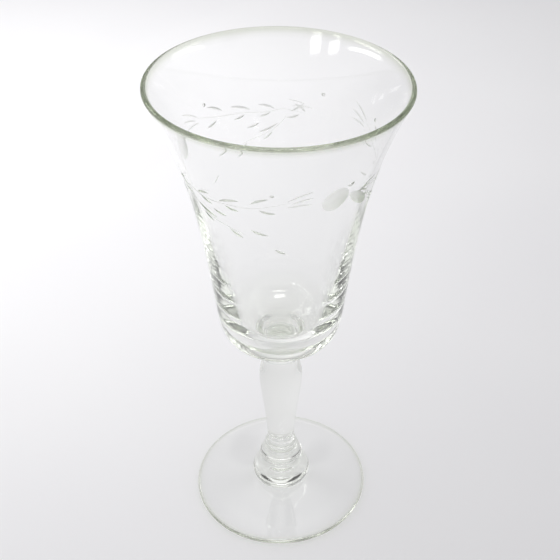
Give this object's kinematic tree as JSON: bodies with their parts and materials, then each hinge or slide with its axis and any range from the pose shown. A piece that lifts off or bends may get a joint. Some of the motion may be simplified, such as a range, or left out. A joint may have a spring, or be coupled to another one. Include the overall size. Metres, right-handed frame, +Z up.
{
  "type": "wine glass",
  "caption": "Stemmed wine glass with a flared bell bowl, an inverted baluster stem and a stepped button on a round domed foot.",
  "frame": {"origin": "centre of the foot's resting plane", "axes": "+Z up along the stem's axis, out of the bowl's mouth; the glass is round about +Z"},
  "size_m": [0.0832, 0.0832, 0.178],
  "materials": {
    "clear_glass": "fire-polished clear glass, faint green-grey where thick",
    "bowl_glass": "thin blown clear glass with wheel-cut leaves and ovals left grey"
  },
  "bodies": {
    "root": {"foot": "clear_glass", "button_knop": "clear_glass", "stem_step": "clear_glass", "stem_collar": "clear_glass", "stem": "clear_glass", "bowl": "bowl_glass"}
  },
  "joints": []
}
